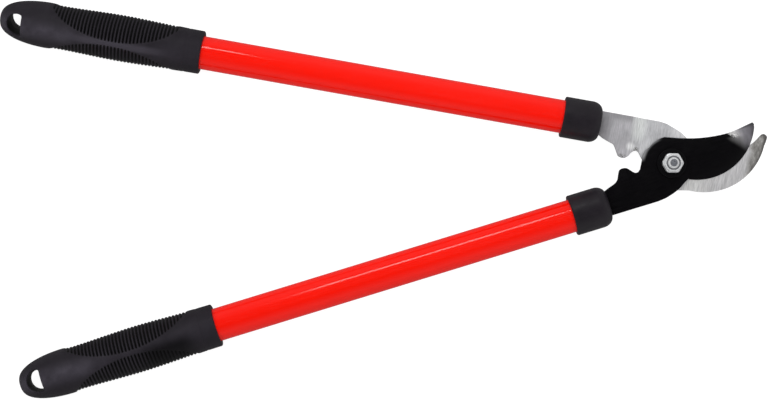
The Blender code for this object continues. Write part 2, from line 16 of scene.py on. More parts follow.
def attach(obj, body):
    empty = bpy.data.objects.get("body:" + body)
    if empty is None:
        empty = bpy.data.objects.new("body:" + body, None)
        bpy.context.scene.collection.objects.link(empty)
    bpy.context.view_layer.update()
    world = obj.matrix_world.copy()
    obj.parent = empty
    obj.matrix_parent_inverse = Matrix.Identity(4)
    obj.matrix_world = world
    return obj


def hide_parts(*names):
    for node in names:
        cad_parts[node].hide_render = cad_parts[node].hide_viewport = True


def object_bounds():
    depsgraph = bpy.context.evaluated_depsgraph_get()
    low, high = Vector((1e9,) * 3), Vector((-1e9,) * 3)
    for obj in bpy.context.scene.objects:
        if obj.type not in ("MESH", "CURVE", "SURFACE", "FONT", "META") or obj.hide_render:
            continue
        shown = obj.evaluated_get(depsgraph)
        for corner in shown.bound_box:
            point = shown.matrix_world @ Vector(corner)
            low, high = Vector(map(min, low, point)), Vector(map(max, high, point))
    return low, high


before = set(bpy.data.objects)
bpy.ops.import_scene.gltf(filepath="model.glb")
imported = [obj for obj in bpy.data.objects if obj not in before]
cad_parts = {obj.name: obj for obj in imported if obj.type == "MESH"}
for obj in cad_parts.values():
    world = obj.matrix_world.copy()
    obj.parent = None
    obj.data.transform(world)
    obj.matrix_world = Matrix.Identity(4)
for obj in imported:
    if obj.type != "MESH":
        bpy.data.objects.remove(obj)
cad_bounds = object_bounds()

# Sizes of the tool, in metres and degrees

# Each lever's turn about the pivot, its tube's place across, its collar's start and its grip's roll
LEVERS = {"hook": {"turn": -10.07, "offset": 0.0244, "start": 0.0691, "roll": -24.0},
          "blade": {"turn": 17.09, "offset": -0.0189, "start": 0.0648, "roll": -2.5}}
TUBE_PLANE = 0.01415
HANDLE_REACH = 0.6178
TUBE_RADIUS = 0.0150
TUBE_BORE_RADIUS = 0.0138
GAP = 0.0003
SLEEVE_BORE_RADIUS = TUBE_RADIUS + GAP
EDGE_EASING = 0.0003

COLLAR_RADIUS = 0.0185
COLLAR_LENGTH = 0.0344
COLLAR_FRONT_WALL = 0.0035
COLLAR_FLAT_RADIUS = 0.0110
COLLAR_NOSE_LENGTH = 0.0095
COLLAR_REAR_FILLET = 0.0012

# Middle of the arc of the jaw's outer edge, and the way to the blade's tip, in lever axes
JAW_OUTER_CENTRE = (0.025, 0.034)
TIPWARDS = (0.757, 0.657)

# The opening for the tang in each collar: half its height, then its two ends across
GATES = {"hook": (0.0028, -0.0102, 0.0115), "blade": (0.0023, -0.0106, 0.0128)}

BOLT_RADIUS = 0.0050
BOLT_POINT_RADIUS = 0.0034
BOLT_END = 0.03250
HEAD_BOTTOM = 0.0
HEAD_HEIGHT = 0.0064
HEAD_TOP = HEAD_BOTTOM + HEAD_HEIGHT
ACROSS_FLATS = 0.0170
HEX_CORNER_RADIUS = ACROSS_FLATS / math.sqrt(3)
HEX_FACE_RADIUS = 0.0081
HEX_RISE = 0.00116
NUT_BOTTOM = 0.02090
NUT_HEIGHT = 0.0100
NUT_HEX_HEIGHT = 0.0070
NUT_CROWN_RADIUS = 0.0078
NUT_CROWN_FILLET = 0.0006
NUT_LIP = 0.0014
NUT_RING_DEPTH = 0.0024
NUT_RING_ROUNDING = 0.0003
# Radii between which the nut's corners get a painted dark reflection
NUT_DARK_REFLECTION_RADII = (0.0089, 0.0096)

GRIP_LENGTH = 0.1845
GRIP_SHOULDER_RADIUS = 0.0206
GRIP_PANEL_RADIUS = 0.0200
GRIP_BARREL_RADIUS = 0.0213
GRIP_RIM_RADIUS = 0.0195
GRIP_RIM_FILLET = 0.0014
GRIP_NOSE = 0.0440
GRIP_NOSE_POWER = 0.35
GRIP_PANEL_DEPTH = 0.0520
GRIP_BARREL_DEPTH = 0.1107
GRIP_BORE_END = 0.0280
BORE_MARGIN = 0.001

EYE_CENTRE = 0.0181
EYE_FLAT = 0.0217
EYE_RADIUS = 0.0101
EYE_CORNER = 0.0016
EYE_ROUNDING = 0.0026
EYE_ROUNDING_REACH = 0.006
EYE_SHADE = 0.0060
EYE_SHADE_MARGIN = 0.002
EYE_DRAFT = 0.0012
EYE_DRAFT_REACH = 0.0170

# Ribbed panels of the grips, and the groove round each grip near its rim
PANEL_START = 0.0465
PANEL_WIDEST = 0.1045
PANEL_END = 0.1625
SPINE_HALF_ANGLE = 4.0
PANEL_BORDER = 0.0012
PANEL_RECESS = 0.0003
RIB_PITCH = 0.0032
RIB_DEPTH = 0.0011
RIB_SHARPNESS = 1.6
BAND_DEPTH = 0.1705
BAND_GROOVE = 0.00025
BAND_GROOVE_WIDTH = 0.0010

# Fineness of the meshes: facets round a turned piece, steps of a fillet and spacing of a grip's rings
AROUND = 144
LOCK_RING_AROUND = 96
FILLET_STEPS = 6
COLLAR_NOSE_STEPS = 15
EYE_ARC_STEPS = 56
EYE_FLAT_STEPS = 24
EYE_SLICES = 80
TIP_DEPTH = 0.006
TIP_STEPS = 14
NOSE_SPACING = 0.0007
STEPS_PER_RIB = 8
TAIL_RINGS = 60
RING_MARGIN = 0.0005

# Distances under which points are one, and angles in degrees: from where an edge is shaded sharp, up to
# where the faces of a plate are one flat face, and from where an edge of a plate is eased
MERGE_DISTANCE = 0.000005
PLATE_MERGE_DISTANCE = 0.000002
SHARP_ANGLE = 35
GRIP_SHARP_ANGLE = 60
PLATE_SHARP_ANGLE = 30
PLATE_FLAT_ANGLE = 1.0
PLATE_EASED_ANGLE = 60


def lever_matrix(side):
    """Places what is given in a lever's axes."""
    return (Matrix.Translation((0, 0, TUBE_PLANE))
            @ Matrix.Rotation(math.radians(LEVERS[side]["turn"]), 4, "Z"))


def handle_matrix(side):
    """Places what is given in a handle's axes."""
    return (lever_matrix(side)
            @ Matrix.Translation((0, LEVERS[side]["offset"], 0))
            @ Matrix.Rotation(math.radians(-90), 4, "Y"))


def grip_matrix(side):
    """Places what is given in a grip's axes."""
    return (handle_matrix(side) @ Matrix.Translation((0, 0, HANDLE_REACH))
            @ Matrix.Rotation(math.radians(LEVERS[side]["roll"]), 4, "Z"))


# Meshes

def placed(name, bm):
    """New object in the scene with a bmesh as its mesh. The bmesh is freed."""
    mesh = bpy.data.meshes.new(name)
    bm.to_mesh(mesh)
    bm.free()
    item = bpy.data.objects.new(name, mesh)
    bpy.context.scene.collection.objects.link(item)
    return item


def add_piece(name, bm, matrix, look, lever, replaced, sharp=SHARP_ANGLE):
    """Object with its place in its mesh, which rides on a lever and stands for a CAD node."""
    item = placed(name, bm)
    item.data.transform(matrix)
    item.data.materials.clear()
    item.data.materials.append(look)
    item.data.shade_smooth()
    item.data.set_sharp_from_angle(angle=math.radians(sharp))
    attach(item, lever + "_lever")
    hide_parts(replaced)


def spun(profile, steps=AROUND, closed=False):
    """Profile of (radius, height) points turned about Z."""
    bm = bmesh.new()
    points = [bm.verts.new((radius, 0, height)) for radius, height in profile]
    followers = points[1:] + points[:1] if closed else points[1:]
    for point, follower in zip(points, followers):
        bm.edges.new((point, follower))
    bmesh.ops.spin(bm, geom=bm.verts[:] + bm.edges[:], cent=(0, 0, 0), axis=(0, 0, 1),
                   angle=math.tau, steps=steps, use_merge=True)
    bmesh.ops.remove_doubles(bm, verts=bm.verts, dist=MERGE_DISTANCE)
    bmesh.ops.recalc_face_normals(bm, faces=bm.faces)
    return bm


def fillet(centre_radius, centre_height, size, start, end, count=FILLET_STEPS):
    """Quarter round of a profile, from one angle to another in degrees."""
    angles = [math.radians(start + (end - start) * step / count) for step in range(count + 1)]
    return [(centre_radius + size * math.cos(angle), centre_height + size * math.sin(angle))
            for angle in angles]


def cut(bm, cutter, operation="DIFFERENCE"):
    """Takes one bmesh out of another, adds it or keeps what they share, with an exact Boolean."""
    body, tool = placed("cut_body", bm), placed("cut_tool", cutter)
    modifier = body.modifiers.new("cut", "BOOLEAN")
    modifier.operation = operation
    modifier.object = tool
    evaluated = body.evaluated_get(bpy.context.evaluated_depsgraph_get())
    result = bmesh.new()
    result.from_mesh(evaluated.to_mesh())
    for item in (body, tool):
        mesh = item.data
        bpy.data.objects.remove(item)
        bpy.data.meshes.remove(mesh)
    return result


def block(low, high):
    """Box between two opposite corners."""
    bm = bmesh.new()
    bmesh.ops.create_cube(bm, size=1)
    low, high = Vector(low), Vector(high)
    bmesh.ops.scale(bm, vec=high - low, verts=bm.verts)
    bmesh.ops.translate(bm, vec=(low + high) / 2, verts=bm.verts)
    return bm


def ease(bm, edges, segments):
    """Rounds edges slightly."""
    bmesh.ops.bevel(bm, geom=edges, affect="EDGES", offset=EDGE_EASING, offset_type="OFFSET",
                    segments=segments, profile=0.5, material=-1, clamp_overlap=True)


def softened(value):
    """Smooth step from 0 to 1."""
    t = np.clip(value, 0, 1)
    return t * t * (3 - 2 * t)


# Grips

def grip_radius(depth):
    """Radius of a grip at each depth from its closed end."""
    depth = np.asarray(depth, float)
    nose = np.clip(depth / GRIP_NOSE, 0, 1)
    radius = GRIP_SHOULDER_RADIUS * (1 - (1 - nose) ** 2) ** GRIP_NOSE_POWER
    stations = [(GRIP_NOSE, GRIP_SHOULDER_RADIUS), (GRIP_PANEL_DEPTH, GRIP_PANEL_RADIUS),
                (GRIP_BARREL_DEPTH, GRIP_BARREL_RADIUS), (GRIP_LENGTH, GRIP_RIM_RADIUS)]
    for (start, low), (end, high) in zip(stations, stations[1:]):
        step = softened((depth - start) / (end - start))
        radius = np.where(depth > start, low + (high - low) * step, radius)
    return radius - BAND_GROOVE * np.exp(-((depth - BAND_DEPTH) / BAND_GROOVE_WIDTH) ** 2)


def ribs(depth, angle):
    """How far the ribbed panels lie below the smooth grip, at each depth and angle."""
    end = np.where(depth < PANEL_WIDEST, PANEL_START, PANEL_END)
    width = np.sqrt(np.clip(1 - ((depth - PANEL_WIDEST) / (end - PANEL_WIDEST)) ** 2, 0, 1))
    border = math.radians(90) - math.radians(90 - SPINE_HALF_ANGLE) * width
    from_spine = np.arcsin(np.abs(np.sin(angle)))
    inside = softened((from_spine - border) * GRIP_BARREL_RADIUS / PANEL_BORDER)
    wave = 0.5 - 0.5 * np.cos(math.tau * (depth - PANEL_START) / RIB_PITCH)
    return inside * (PANEL_RECESS + RIB_DEPTH * wave ** RIB_SHARPNESS)


def blended(a, b, size):
    """The larger of two distances, with a rounded change from one to the other."""
    mixed = np.clip(size - np.abs(a - b), 0, None) / size
    return np.maximum(a, b) + mixed ** 2 * size / 4


def eye_distance(across, depth, rise=EYE_DRAFT_REACH):
    """Distance from the wall of the hanging eye, below zero inside the hole.

    The eye is narrowest at the mould's parting line, halfway through the grip.
    """
    draft = EYE_DRAFT * (1 - np.clip(np.abs(rise) / EYE_DRAFT_REACH, 0, 1))
    curve = np.hypot(across, depth - EYE_CENTRE) - EYE_RADIUS + draft
    return blended(curve, depth - EYE_FLAT, EYE_CORNER)


def nose_distance(points):
    """Distance from the rounded nose of a grip with its eye, below zero in the rubber."""
    x, y, depth = points[:, 0], points[:, 1], -points[:, 2]
    step = 0.0001
    slope = (grip_radius(depth + step) - grip_radius(depth - step)) / (2 * step)
    skin = (np.hypot(x, y) - grip_radius(depth)) / np.sqrt(1 + slope ** 2)
    return blended(skin, -eye_distance(y, depth, x), EYE_ROUNDING)


def rounded_eye(bm):
    """Rounds the edges of the hanging eye by moving the points near it onto the nose's form."""
    tip_kept = 0.002
    rounds = 4
    least_slope = 0.25
    step = 0.00005
    bm.verts.ensure_lookup_table()
    near = [vert for vert in bm.verts
            if tip_kept < -vert.co.z < EYE_FLAT + EYE_ROUNDING_REACH
            and abs(eye_distance(vert.co.y, -vert.co.z)) < EYE_ROUNDING_REACH]
    points = np.array([vert.co for vert in near])
    for _ in range(rounds):
        value = nose_distance(points)
        slope = np.stack([(nose_distance(points + shift) - nose_distance(points - shift)) / (2 * step)
                          for shift in np.eye(3) * step], 1)
        points = points - slope * (value / np.maximum((slope ** 2).sum(1), least_slope))[:, None]
    for vert, point in zip(near, points):
        vert.co = point


def eye_cutter():
    """D-shaped bar along X for the hanging eye, with short faces along its length."""
    reach = 0.0240
    corner = math.sqrt(EYE_RADIUS ** 2 - (EYE_FLAT - EYE_CENTRE) ** 2)
    opening = math.atan2(EYE_FLAT - EYE_CENTRE, corner)
    angles = [opening - (math.pi + 2 * opening) * step / EYE_ARC_STEPS
              for step in range(EYE_ARC_STEPS + 1)]
    outline = [(EYE_RADIUS * math.cos(angle), EYE_CENTRE + EYE_RADIUS * math.sin(angle))
               for angle in angles]
    outline += [(-corner + 2 * corner * step / EYE_FLAT_STEPS, EYE_FLAT)
                for step in range(1, EYE_FLAT_STEPS)]
    bm = bmesh.new()
    verts = [bm.verts.new((-reach, across, -depth)) for across, depth in outline]
    edges = [bm.edges.new((vert, follower)) for vert, follower in zip(verts, verts[1:] + verts[:1])]
    bm.faces.new(verts)
    for _ in range(EYE_SLICES):
        raised = bmesh.ops.extrude_edge_only(bm, edges=edges)["geom"]
        moved = [item for item in raised if isinstance(item, bmesh.types.BMVert)]
        edges = [item for item in raised if isinstance(item, bmesh.types.BMEdge)]
        bmesh.ops.translate(bm, vec=(2 * reach / EYE_SLICES, 0, 0), verts=moved)
    bmesh.ops.edgeloop_fill(bm, edges=edges)
    bmesh.ops.recalc_face_normals(bm, faces=bm.faces)
    return bm


def grip_profile():
    """Profile of a smooth grip and its bore, from the closed end round to the bore's end."""
    panel_top = PANEL_START - RING_MARGIN
    tip = [TIP_DEPTH * (count / TIP_STEPS) ** 2 for count in range(1, TIP_STEPS)]
    nose = list(np.arange(TIP_DEPTH, panel_top, NOSE_SPACING))
    panel = list(np.arange(panel_top, PANEL_END + 2 * RING_MARGIN, RIB_PITCH / STEPS_PER_RIB))
    tail = list(np.linspace(PANEL_END + 3 * RING_MARGIN, GRIP_LENGTH - GRIP_RIM_FILLET - RING_MARGIN,
                            TAIL_RINGS))
    depths = np.array(tip + nose + panel + tail)
    outer = [(radius, -depth) for radius, depth in zip(grip_radius(depths), depths)]
    rim = fillet(GRIP_RIM_RADIUS - GRIP_RIM_FILLET, -(GRIP_LENGTH - GRIP_RIM_FILLET), GRIP_RIM_FILLET,
                 0, -90)
    bore = [(SLEEVE_BORE_RADIUS, -GRIP_LENGTH), (SLEEVE_BORE_RADIUS, -GRIP_BORE_END),
            (0, -GRIP_BORE_END)]
    return [(0, 0)] + outer + rim + bore


def ribbed_point(vert):
    """Radius and depth of a point of a grip, and how far a rib lowers it or None off the panels."""
    radius = math.hypot(vert.co.x, vert.co.y)
    depth = -vert.co.z
    if radius > SLEEVE_BORE_RADIUS + BORE_MARGIN and PANEL_START < depth < PANEL_END:
        return radius, depth, float(ribs(depth, math.atan2(vert.co.y, vert.co.x)))
    return radius, depth, None


def grip_mesh():
    """Grip from its closed end at z = 0 down to its rim, with its ribs, bore and eye.

    Its shade layer says how deep each point lies in a groove or in the eye, from 0 to 1; the rubber gets
    painted shade there.
    """
    bm = spun(grip_profile())
    for vert in bm.verts:
        radius, _, lowered = ribbed_point(vert)
        if lowered is not None:
            vert.co.xy = vert.co.xy * ((radius - lowered) / radius)
    bm = cut(bm, eye_cutter())
    rounded_eye(bm)
    # The layer of painted shade for the grooves and the eye's wall
    recess_shade = bm.verts.layers.float.new("recess_shade")
    for vert in bm.verts:
        radius, depth, lowered = ribbed_point(vert)
        if lowered is not None:
            vert[recess_shade] = lowered / (PANEL_RECESS + RIB_DEPTH)
        elif EYE_CENTRE - EYE_RADIUS - EYE_SHADE_MARGIN < depth < PANEL_START:
            vert[recess_shade] = float(softened((float(grip_radius(depth)) - radius) / EYE_SHADE))
    return bm


# Collars

def collar_mesh(side):
    """Collar from its front face at z = 0, with a gate for the tang."""
    rise = COLLAR_RADIUS - COLLAR_FLAT_RADIUS
    angles = [math.radians(90 * step / COLLAR_NOSE_STEPS) for step in range(COLLAR_NOSE_STEPS + 1)]
    nose = [(COLLAR_FLAT_RADIUS + rise * math.sin(angle), COLLAR_NOSE_LENGTH * (1 - math.cos(angle)))
            for angle in angles]
    rear = fillet(COLLAR_RADIUS - COLLAR_REAR_FILLET, COLLAR_LENGTH - COLLAR_REAR_FILLET,
                  COLLAR_REAR_FILLET, 0, 90)
    bore = [(SLEEVE_BORE_RADIUS, COLLAR_LENGTH), (SLEEVE_BORE_RADIUS, COLLAR_FRONT_WALL),
            (0, COLLAR_FRONT_WALL)]
    bm = spun([(0, 0)] + nose + rear + bore)
    half, low, high = GATES[side]
    ahead, behind = 0.010, 0.001
    return cut(bm, block((-half, low, -ahead), (half, high, COLLAR_FRONT_WALL + behind)))


# Bolt and nut

def hexagon(low, high):
    """Hexagonal bar along Z with corners on the X axis and slightly rounded edges."""
    bm = bmesh.new()
    bmesh.ops.create_circle(bm, cap_ends=True, segments=6, radius=HEX_CORNER_RADIUS)
    bmesh.ops.rotate(bm, verts=bm.verts, cent=(0, 0, 0), matrix=Matrix.Rotation(math.radians(30), 3, "Z"))
    bmesh.ops.translate(bm, vec=(0, 0, low), verts=bm.verts)
    raised = bmesh.ops.extrude_face_region(bm, geom=bm.faces[:])["geom"]
    top = [item for item in raised if isinstance(item, bmesh.types.BMVert)]
    bmesh.ops.translate(bm, vec=(0, 0, high - low), verts=top)
    bmesh.ops.recalc_face_normals(bm, faces=bm.faces)
    upright = [edge for edge in bm.edges
               if abs(edge.verts[0].co.z - edge.verts[1].co.z) > (high - low) / 2]
    ease(bm, upright, segments=3)
    return bm


def bolt_mesh():
    """Hexagon head with its washer face and the shank's chamfered end."""
    reach = HEX_CORNER_RADIUS + GAP
    head = cut(hexagon(HEAD_BOTTOM - GAP, HEAD_TOP),
               spun([(0, HEAD_BOTTOM), (HEX_FACE_RADIUS, HEAD_BOTTOM), (reach, HEAD_BOTTOM + HEX_RISE),
                     (reach, HEAD_TOP + GAP), (0, HEAD_TOP + GAP)]), "INTERSECT")
    chamfer = BOLT_RADIUS - BOLT_POINT_RADIUS
    root = (HEAD_BOTTOM + HEAD_TOP) / 2
    shank = spun([(0, root), (BOLT_RADIUS, root), (BOLT_RADIUS, BOLT_END - chamfer),
                  (BOLT_POINT_RADIUS, BOLT_END), (0, BOLT_END)])
    return cut(head, shank, "UNION")


def nut_mesh():
    """Locking nut from its seat at z = 0: chamfered hexagon and rounded crown, open for the ring."""
    reach = HEX_CORNER_RADIUS + GAP
    outer = [(0, 0), (HEX_FACE_RADIUS, 0), (reach, HEX_RISE), (reach, NUT_HEX_HEIGHT - HEX_RISE),
             (HEX_FACE_RADIUS, NUT_HEX_HEIGHT), (NUT_CROWN_RADIUS, NUT_HEX_HEIGHT)]
    crown = fillet(NUT_CROWN_RADIUS - NUT_CROWN_FILLET, NUT_HEIGHT - NUT_CROWN_FILLET, NUT_CROWN_FILLET,
                   0, 90)
    body = cut(hexagon(-GAP, NUT_HEIGHT + GAP), spun(outer + crown + [(0, NUT_HEIGHT)]), "INTERSECT")
    bore = BOLT_RADIUS + GAP
    seat = NUT_HEIGHT - NUT_RING_DEPTH
    ring = NUT_CROWN_RADIUS - NUT_LIP
    return cut(body, spun([(0, -GAP), (bore, -GAP), (bore, seat), (ring, seat),
                           (ring, NUT_HEIGHT + GAP), (0, NUT_HEIGHT + GAP)]))


def lock_ring_mesh():
    """Nylon ring with its top edges rounded, measured from the nut's seat."""
    inner = BOLT_RADIUS + GAP
    outer = NUT_CROWN_RADIUS - NUT_LIP - GAP
    low = NUT_HEIGHT - NUT_RING_DEPTH + GAP
    edge = NUT_HEIGHT - GAP - NUT_RING_ROUNDING
    top = (fillet(outer - NUT_RING_ROUNDING, edge, NUT_RING_ROUNDING, 0, 90, count=4)
           + fillet(inner + NUT_RING_ROUNDING, edge, NUT_RING_ROUNDING, 90, 180, count=4))
    return spun([(inner, low), (outer, low)] + top, LOCK_RING_AROUND, closed=True)


# Materials

def set_stops(node, stops):
    """Fills a colour ramp. Each stop is (position, grey or colour)."""
    entries = node.color_ramp.elements
    while len(entries) < len(stops):
        entries.new(0.5)
    for entry, (position, colour) in zip(entries, stops):
        entry.position = position
        entry.color = (*colour, 1.0) if isinstance(colour, tuple) else (colour, colour, colour, 1.0)


class Finish:
    """A material that is being built from nodes.

    Lengths are metres along the axes that its place gives, and colours are linear.
    """

    def __init__(self, name, place=Matrix.Identity(4)):
        self.material = bpy.data.materials.new(name)
        self.material.use_nodes = True
        self.tree = self.material.node_tree
        self.shader = self.tree.nodes["Principled BSDF"]
        coordinates = self.add("ShaderNodeTexCoord")
        mapping = self.add("ShaderNodeMapping")
        inverse = place.inverted()
        mapping.inputs["Location"].default_value = inverse.translation
        mapping.inputs["Rotation"].default_value = inverse.to_euler()
        self.feed(mapping.inputs["Vector"], coordinates.outputs["Object"])
        self.place = mapping.outputs["Vector"]
        split = self.add("ShaderNodeSeparateXYZ")
        self.feed(split.inputs["Vector"], self.place)
        self.x, self.y, self.z = split.outputs

    def add(self, kind, **settings):
        """New node with its settings."""
        node = self.tree.nodes.new(kind)
        for name, value in settings.items():
            setattr(node, name, value)
        return node

    def feed(self, socket, value):
        """Gives a socket a number, a colour or another node's output."""
        if isinstance(value, tuple):
            socket.default_value = (*value, 1.0)
        elif isinstance(value, (int, float)):
            socket.default_value = value
        else:
            self.tree.links.new(value, socket)

    def put(self, **values):
        """Feeds the shader's own sockets, named with underscores for spaces."""
        for name, value in values.items():
            self.feed(self.shader.inputs[name.replace("_", " ")], value)

    def noise(self, scale, detail=3.0, roughness=0.5, stretch=(1, 1, 1)):
        """Noise, which is finer along an axis with a larger stretch."""
        mapping = self.add("ShaderNodeMapping")
        mapping.inputs["Scale"].default_value = stretch
        self.feed(mapping.inputs["Vector"], self.place)
        node = self.add("ShaderNodeTexNoise")
        for name, value in (("Vector", mapping.outputs["Vector"]), ("Scale", scale),
                            ("Detail", detail), ("Roughness", roughness)):
            self.feed(node.inputs[name], value)
        return node.outputs["Fac"]

    def ramp(self, source, stops):
        """Colours or greys along a value."""
        node = self.add("ShaderNodeValToRGB")
        set_stops(node, stops)
        self.feed(node.inputs["Fac"], source)
        return node.outputs["Color"]

    def graded(self, source, first, second, start=0.3, end=0.7):
        """Goes from one colour or grey to another while a value goes from start to end."""
        return self.ramp(source, [(start, first), (end, second)])

    def math(self, operation, *values):
        """Result of one operation on numbers or outputs."""
        node = self.add("ShaderNodeMath", operation=operation)
        for socket, value in zip(node.inputs, values):
            self.feed(socket, value)
        return node.outputs["Value"]

    def product(self, first, *others):
        """Product of masks and numbers."""
        for other in others:
            first = self.math("MULTIPLY", first, other)
        return first

    def between(self, source, low, high):
        """Smooth step of a value, from 0 at low to 1 at high. High may be the smaller of the two."""
        node = self.add("ShaderNodeMapRange", interpolation_type="SMOOTHSTEP")
        for name, value in (("Value", source), ("From Min", low), ("From Max", high)):
            self.feed(node.inputs[name], value)
        return node.outputs["Result"]

    def distance(self, centre):
        """Distance from a point in the plane of the first two axes."""
        offsets = [self.math("SUBTRACT", axis, middle) for axis, middle in zip((self.x, self.y), centre)]
        squares = [self.product(offset, offset) for offset in offsets]
        return self.math("SQRT", self.math("ADD", *squares))

    def wandering(self, value, noise, reach):
        """A value that a noise moves to and fro."""
        return self.math("ADD", value, self.product(self.math("SUBTRACT", noise, 0.5), reach))

    def over(self, base, colour, mask):
        """A colour laid over a base as far as a mask says."""
        node = self.add("ShaderNodeMix", data_type="RGBA")
        # The node's colour sockets share their names with others, so they are taken by number
        for socket, value in ((node.inputs["Factor"], mask), (node.inputs[6], base),
                              (node.inputs[7], colour)):
            self.feed(socket, value)
        return node.outputs[2]

    def bump(self, source, distance):
        """Relief from a value, in metres."""
        node = self.add("ShaderNodeBump")
        self.feed(node.inputs["Distance"], distance)
        self.feed(node.inputs["Height"], source)
        self.put(Normal=node.outputs["Normal"])


def red_paint(side):
    """Gloss enamel over drawn steel tube, with a faint orange peel."""
    finish = Finish(side + "_red_paint", handle_matrix(side))
    tone = finish.noise(14, 3, stretch=(1, 1, 0.2))
    gloss = finish.noise(40, 3, stretch=(1, 1, 0.3))
    finish.put(Specular_IOR_Level=0.0, Coat_Weight=1.0, Coat_IOR=1.4,
               Base_Color=finish.graded(tone, (0.84, 0.0066, 0.0018), (0.94, 0.0088, 0.0026)),
               Roughness=finish.graded(finish.noise(90, 3), 0.30, 0.36),
               Coat_Roughness=finish.graded(gloss, 0.07, 0.12))
    finish.bump(finish.noise(260, 1), 0.000004)
    return finish.material


# Textures: the noises of tone, roughness and grain, the grain's height, the noise values between which
# the tone changes, and for a plain material how dark its tone gets and how much its roughness varies
RUBBER = {"tone": (60, 5, 0.6), "rough": (220, 4), "grain": (2600, 2), "relief": 0.00002,
          "reach": (0.25, 0.75)}
METAL = {"tone": (400, 4, 0.6), "rough": (700, 3), "grain": (900, 3), "relief": 0.000006,
         "reach": (0.3, 0.7), "darkest": 0.82, "varies": 0.08}
PLASTIC = {"tone": (150, 4), "rough": (700, 3), "grain": (1800, 2), "relief": 0.00002,
           "reach": (0.3, 0.7), "darkest": 0.8, "varies": 0.1}


def textured(name, texture, dark, light, rough, place=Matrix.Identity(4), **settings):
    """Finish with a mottled skin, mottled roughness and a grain, and the colour of its skin."""
    finish = Finish(name, place)
    skin = finish.graded(finish.noise(*texture["tone"]), dark, light, *texture["reach"])
    finish.put(Base_Color=skin, Roughness=finish.graded(finish.noise(*texture["rough"]), *rough),
               **settings)
    finish.bump(finish.noise(*texture["grain"]), texture["relief"])
    return finish, skin


def plain(name, texture, colour, rough, **settings):
    """Material of one colour, a little darker in places."""
    dark = tuple(channel * texture["darkest"] for channel in colour)
    finish, _ = textured(name, texture, dark, colour, (rough, rough + texture["varies"]), **settings)
    return finish.material


def collar_rubber(name, place):
    """Charcoal moulded rubber with a fine eggshell grain."""
    finish, _ = textured(name, RUBBER, (0.0078, 0.0060, 0.0086), (0.0138, 0.0109, 0.0150), (0.38, 0.50),
                         place, Specular_IOR_Level=0.34)
    return finish.material


def grip_rubber(side):
    """Duller rubber, paler along its top towards the nose with painted sheen and some wear from hands, and
    with painted shade, near black, in its grooves.
    """
    sheen_and_wear_colour = (0.0520, 0.0465, 0.0600)
    finish, skin = textured(side + "_grip_rubber", RUBBER, (0.0105, 0.0087, 0.0120),
                            (0.0175, 0.0150, 0.0198), (0.46, 0.58), grip_matrix(side),
                            Specular_IOR_Level=0.18)
    across = finish.y
    depth = finish.product(finish.z, -1.0)
    off_spine = finish.math("ABSOLUTE", across)
    # Painted sheen along the top of the grip towards the nose, with some wear, in patches
    spine = finish.between(off_spine, 0.0135, 0.0010)
    nose = finish.graded(finish.between(depth, 0.095, 0.050), 0.18, 1.0, 0.0, 1.0)
    patches = finish.graded(finish.noise(45, 4, 0.6), 0.35, 1.0, 0.35, 0.65)
    skin = finish.over(skin, sheen_and_wear_colour, finish.product(spine, nose, patches))
    if side == "hook":
        # A pale streak of painted sheen on the spine between the panels
        streak = finish.product(finish.between(off_spine, 0.0050, 0.0010),
                                finish.between(depth, 0.055, 0.085),
                                finish.between(depth, 0.165, 0.130))
        skin = finish.over(skin, sheen_and_wear_colour, finish.product(streak, 0.7))
    else:
        # Painted shade on the side away from the light, towards the rim
        painted_rim_shade = finish.product(finish.between(across, 0.006, -0.006),
                               finish.between(depth, 0.105, 0.130),
                               finish.between(depth, 0.172, 0.150))
        skin = finish.over(skin, (0.0035, 0.0030, 0.0041), painted_rim_shade)
    # Painted shade, near black, in the rib grooves and on the eye's wall
    recess_shade = finish.add("ShaderNodeAttribute", attribute_name="recess_shade").outputs["Fac"]
    groove = finish.between(recess_shade, 0.22, 0.70)
    finish.put(Base_Color=finish.over(skin, (0.0007, 0.0006, 0.0008), groove))
    return finish.material


def tang_tones(finish, blotches):
    """Tang of the hook, with a painted shadow where it enters the collar, and darker along its upper
    border.
    """
    tang = finish.graded(blotches, (0.42, 0.41, 0.43), (0.56, 0.55, 0.58))
    # Painted shadow where the tang enters the collar, and a darker upper border, in one colour
    collar_shadow = finish.product(finish.between(finish.x, -0.056, -0.064), 0.55)
    border = finish.product(finish.between(finish.y, 0.0275, 0.0335), 0.45)
    return finish.over(tang, (0.17, 0.160, 0.170), finish.math("MAXIMUM", collar_shadow, border))


def plate_tones(finish, tang, blotches):
    """Plate of the hook laid over its tang, with a painted highlight on the joggle between them and two
    painted highlights on the plate.
    """
    along, across = finish.x, finish.y
    plate = finish.graded(blotches, (0.50, 0.50, 0.52), (0.76, 0.76, 0.78))
    body = finish.over(tang, plate, finish.between(along, -0.043, -0.036))
    # Painted highlight on the slope of the joggle
    joggle = finish.math("SUBTRACT", finish.between(along, -0.042, -0.036),
                         finish.between(along, -0.033, -0.024))
    joggle = finish.product(joggle, finish.between(across, 0.010, 0.022))
    body = finish.over(body, (0.84, 0.86, 0.85), joggle)
    # Two painted highlights on the plate
    shine = finish.product(finish.between(finish.distance((-0.0386, 0.0086)), 0.0055, 0.0010), 0.8)
    body = finish.over(body, (1.0, 1.0, 1.0), shine)
    sheen = finish.product(finish.between(finish.distance((0.0040, 0.0270)), 0.0130, 0.0), 0.8)
    return finish.over(body, (0.92, 0.92, 0.94), sheen)


def jaw_tones(finish):
    """Jaw of the hook, streaked and palest at its heel."""
    streaks = finish.noise(60, 4, 0.6, stretch=(4, 0.5, 1))
    jaw = finish.ramp(streaks, [(0.3, (0.54, 0.53, 0.54)), (0.5, (0.67, 0.66, 0.67)),
                                (0.7, (0.86, 0.85, 0.86))])
    heel = finish.product(finish.between(finish.x, 0.045, 0.022), 0.55)
    return finish.over(jaw, (0.87, 0.87, 0.84), heel)


